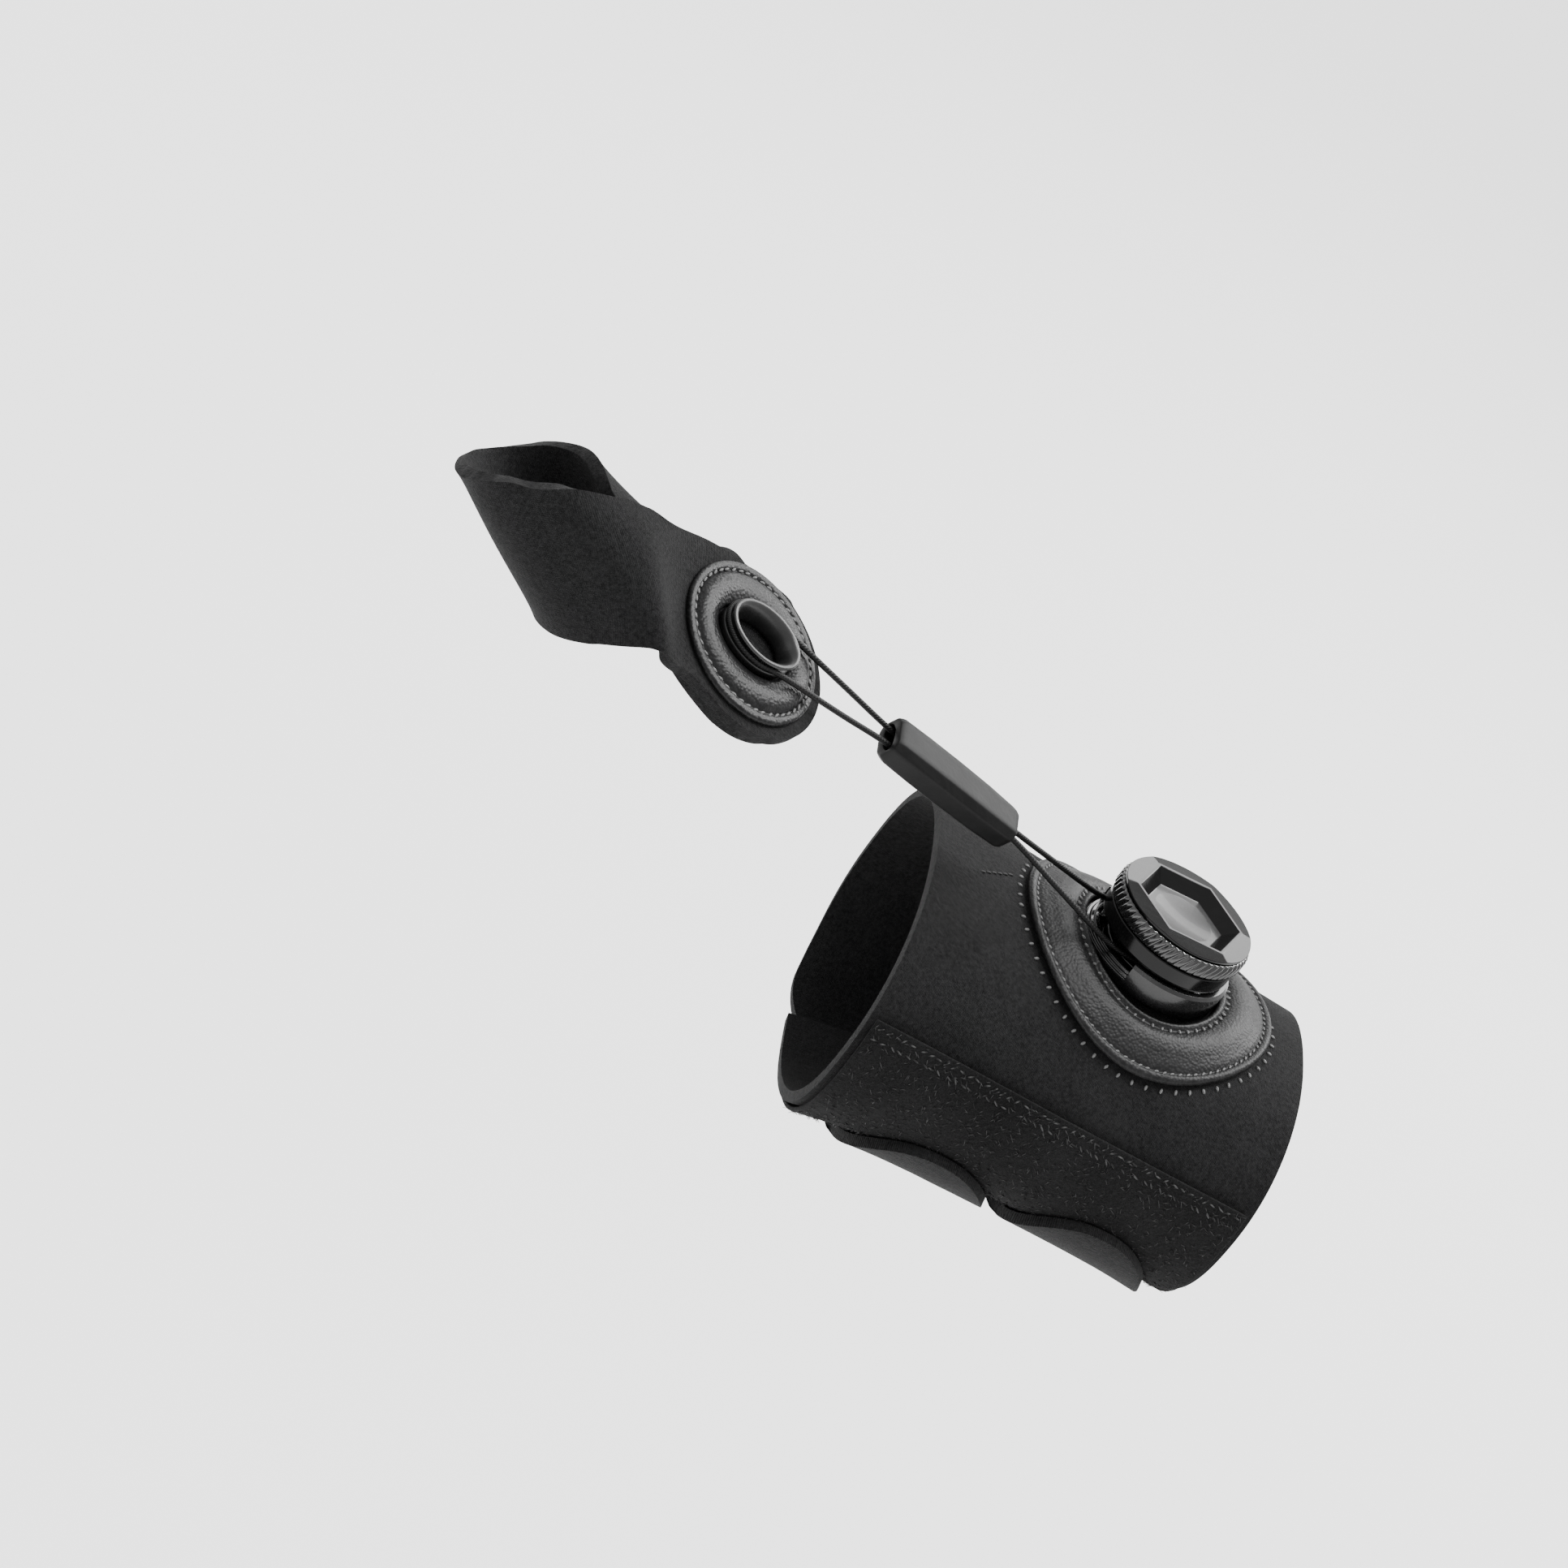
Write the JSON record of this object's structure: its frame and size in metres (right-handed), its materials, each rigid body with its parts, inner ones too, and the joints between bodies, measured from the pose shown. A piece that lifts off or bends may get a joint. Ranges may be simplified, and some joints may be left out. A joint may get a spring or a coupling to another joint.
{
  "type": "trigger finger splint",
  "caption": "Neoprene wrist cuff with a lace-tightening dial that draws a finger sling toward the back of the hand.",
  "frame": {"origin": "centre of the wrist hollow, midway along the cuff, where the wrist holds the part up", "axes": "+X toward the elbow, -X toward the fingertips, +Z out of the back of the hand, -Y toward the thumb of a right hand"},
  "size_m": [0.1786, 0.0716, 0.0933],
  "materials": {
    "neoprene": "black knit-faced neoprene, matte",
    "loop_pile": "black brushed loop pile",
    "patch_leather": "black pebbled leatherette, satin",
    "base_plastic": "black moulded plastic, satin",
    "spool_plastic": "black moulded plastic",
    "knob_plastic": "black moulded plastic, glossy",
    "grip_plastic": "black ribbed plastic, glossy edges",
    "lace_nylon": "black coated lace"
  },
  "bodies": {
    "brace": {"wrist_wrap": "neoprene", "loop_panel": "loop_pile", "dial_patch": "patch_leather", "dial_base": "base_plastic", "finger_strap": "neoprene", "anchor_patch": "patch_leather", "lace_guide": "knob_plastic", "lace": "lace_nylon", "lace_spacer": "base_plastic"},
    "spool": {"lace_spool": "spool_plastic"},
    "knob": {"dial_knob": "knob_plastic", "knob_grip": "grip_plastic"}
  },
  "joints": [
    {"name": "knob_turn", "type": "hinge", "parent": "brace", "child": "spool", "pos_m": [0.005, 0, 0.0277], "axis": [0, 0, 1], "continuous": true},
    {"name": "knob_pull", "type": "slide", "parent": "spool", "child": "knob", "axis": [0, 0, 1], "range_m": [0, 0.002]}
  ]
}
